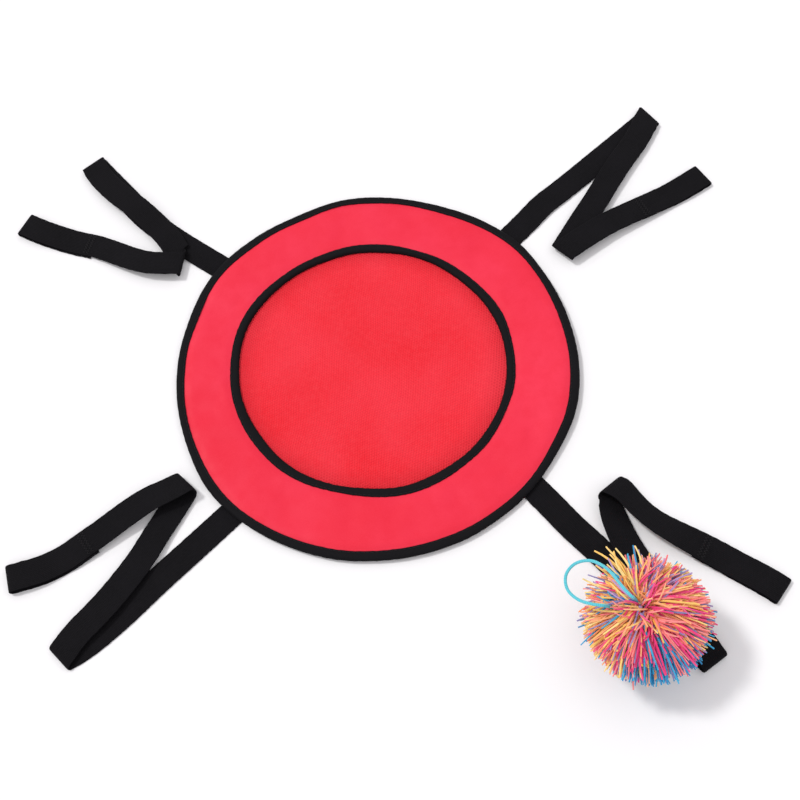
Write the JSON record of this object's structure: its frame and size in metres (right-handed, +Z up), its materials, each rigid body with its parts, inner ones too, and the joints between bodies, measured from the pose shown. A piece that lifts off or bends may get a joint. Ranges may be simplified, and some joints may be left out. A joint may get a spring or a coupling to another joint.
{
  "type": "roundnet set",
  "caption": "Soft round bounce disc with a netted centre, folded elastic straps ending in hand loops, and a rubber-strand ball with a finger loop.",
  "frame": {"origin": "centre of the net's top face, with the disc lying flat", "axes": "+Z up out of the net; +Y towards the back of the set, +X to its right; the straps lie at the four diagonals"},
  "size_m": [0.5535, 0.4948, 0.0884],
  "materials": {
    "neoprene": "satin",
    "net": "matte",
    "binding_tape": "matte",
    "black_thread": "satin",
    "black_elastic": "matte",
    "cyan_cord": "satin",
    "rubber_yellow": "satin",
    "rubber_orange": "satin",
    "rubber_salmon": "satin",
    "rubber_magenta": "satin",
    "rubber_blue": "satin",
    "rubber_lilac": "satin"
  },
  "bodies": {
    "root": {"neoprene_ring": "neoprene", "mesh_net": "net", "outer_binding": "binding_tape", "inner_binding_top": "binding_tape", "inner_binding_bottom": "binding_tape", "outer_stitch": "black_thread", "inner_stitch": "black_thread", "front_left_root_tab": "black_elastic", "back_left_root_tab": "black_elastic", "back_right_root_tab": "black_elastic", "front_right_root_tab": "black_elastic"},
    "front_left_strap_inner": {"front_left_inner_leg": "black_elastic", "front_left_far_fold": "black_elastic"},
    "front_left_strap_middle": {"front_left_middle_leg": "black_elastic", "front_left_near_fold": "black_elastic"},
    "front_left_strap_outer": {"front_left_hand_loop": "black_elastic", "front_left_loop_tack": "black_thread"},
    "back_left_strap_inner": {"back_left_inner_leg": "black_elastic", "back_left_far_fold": "black_elastic"},
    "back_left_strap_middle": {"back_left_middle_leg": "black_elastic", "back_left_near_fold": "black_elastic"},
    "back_left_strap_outer": {"back_left_hand_loop": "black_elastic", "back_left_loop_tack": "black_thread"},
    "back_right_strap_inner": {"back_right_inner_leg": "black_elastic", "back_right_far_fold": "black_elastic"},
    "back_right_strap_middle": {"back_right_middle_leg": "black_elastic", "back_right_near_fold": "black_elastic"},
    "back_right_strap_outer": {"back_right_hand_loop": "black_elastic", "back_right_loop_tack": "black_thread"},
    "front_right_strap_inner": {"front_right_inner_leg": "black_elastic", "front_right_far_fold": "black_elastic"},
    "front_right_strap_middle": {"front_right_middle_leg": "black_elastic", "front_right_near_fold": "black_elastic"},
    "front_right_strap_outer": {"front_right_hand_loop": "black_elastic", "front_right_loop_tack": "black_thread"},
    "ball": {"ball_core": "rubber_salmon", "ball_strands_yellow": "rubber_yellow", "ball_strands_orange": "rubber_orange", "ball_strands_salmon": "rubber_salmon", "ball_strands_magenta": "rubber_magenta", "ball_strands_blue": "rubber_blue", "ball_strands_lilac": "rubber_lilac"},
    "finger_loop": {"finger_loop_cord": "cyan_cord"}
  },
  "joints": [
    {"name": "front_left_seam_hinge", "type": "hinge", "parent": "root", "child": "front_left_strap_inner", "pos_m": [-0.11386, -0.10145, -0.00135], "axis": [-0.5852, 0.8109, 0], "range_deg": [-75, 60]},
    {"name": "front_left_far_fold_hinge", "type": "hinge", "parent": "front_left_strap_inner", "child": "front_left_strap_middle", "pos_m": [-0.2342, -0.1883, 0.00035], "axis": [0.6878, -0.7259, 0], "range_deg": [0, 178], "deforming": ["front_left_far_fold"]},
    {"name": "front_left_near_fold_hinge", "type": "hinge", "parent": "front_left_strap_middle", "child": "front_left_strap_outer", "pos_m": [-0.1422, -0.0743, 0.00375], "axis": [-0.6106, 0.7919, 0], "range_deg": [0, 178], "deforming": ["front_left_near_fold"]},
    {"name": "back_left_seam_hinge", "type": "hinge", "parent": "root", "child": "back_left_strap_inner", "pos_m": [-0.10951, 0.10613, -0.00135], "axis": [0.7543, 0.6565, 0], "range_deg": [-75, 60]},
    {"name": "back_left_far_fold_hinge", "type": "hinge", "parent": "back_left_strap_inner", "child": "back_left_strap_middle", "pos_m": [-0.2074, 0.2186, 0.00035], "axis": [-0.7993, -0.601, 0], "range_deg": [0, 178], "deforming": ["back_left_far_fold"]},
    {"name": "back_left_near_fold_hinge", "type": "hinge", "parent": "back_left_strap_middle", "child": "back_left_strap_outer", "pos_m": [-0.138, 0.1111, 0.00375], "axis": [0.6425, 0.7662, 0], "range_deg": [0, 178], "deforming": ["back_left_near_fold"]},
    {"name": "back_right_seam_hinge", "type": "hinge", "parent": "root", "child": "back_right_strap_inner", "pos_m": [0.11682, 0.09803, -0.00135], "axis": [0.5961, -0.8029, 0], "range_deg": [-75, 60]},
    {"name": "back_right_far_fold_hinge", "type": "hinge", "parent": "back_right_strap_inner", "child": "back_right_strap_middle", "pos_m": [0.2465, 0.1943, 0.00035], "axis": [-0.6993, 0.7148, 0], "range_deg": [0, 178], "deforming": ["back_right_far_fold"]},
    {"name": "back_right_near_fold_hinge", "type": "hinge", "parent": "back_right_strap_middle", "child": "back_right_strap_outer", "pos_m": [0.1546, 0.076, 0.00375], "axis": [0.6097, -0.7927, 0], "range_deg": [0, 178], "deforming": ["back_right_near_fold"]},
    {"name": "front_right_seam_hinge", "type": "hinge", "parent": "root", "child": "front_right_strap_inner", "pos_m": [0.10381, -0.11171, -0.00135], "axis": [-0.8202, -0.5721, 0], "range_deg": [0, 60]},
    {"name": "front_right_far_fold_hinge", "type": "hinge", "parent": "front_right_strap_inner", "child": "front_right_strap_middle", "pos_m": [0.1988, -0.2479, 0.00035], "axis": [0.8914, 0.4532, 0], "range_deg": [0, 178], "deforming": ["front_right_far_fold"]},
    {"name": "front_right_near_fold_hinge", "type": "hinge", "parent": "front_right_strap_middle", "child": "front_right_strap_outer", "pos_m": [0.1539, -0.1175, 0.00375], "axis": [-0.8395, -0.5434, 0], "range_deg": [0, 178], "deforming": ["front_right_near_fold"]},
    {"name": "ball_toss", "type": "slide", "parent": "root", "child": "ball", "axis": [-0.2338, 0.3411, 0.9105], "range_m": [0, 0.659]},
    {"name": "finger_loop_swing", "type": "hinge", "parent": "ball", "child": "finger_loop", "pos_m": [0.13946, -0.22114, 0.08539], "axis": [0.5912, 0.7955, 0.1328], "range_deg": [0, 110]}
  ],
  "couplings": [
    {"joint": "front_left_near_fold_hinge", "follows": "front_left_far_fold_hinge", "ratio": 1},
    {"joint": "back_left_near_fold_hinge", "follows": "back_left_far_fold_hinge", "ratio": 1},
    {"joint": "back_right_near_fold_hinge", "follows": "back_right_far_fold_hinge", "ratio": 1},
    {"joint": "front_right_seam_hinge", "follows": "ball_toss", "rad_per_m": 1.5889},
    {"joint": "front_right_far_fold_hinge", "follows": "ball_toss", "rad_per_m": 4.7138},
    {"joint": "front_right_near_fold_hinge", "follows": "ball_toss", "rad_per_m": 4.7138}
  ]
}
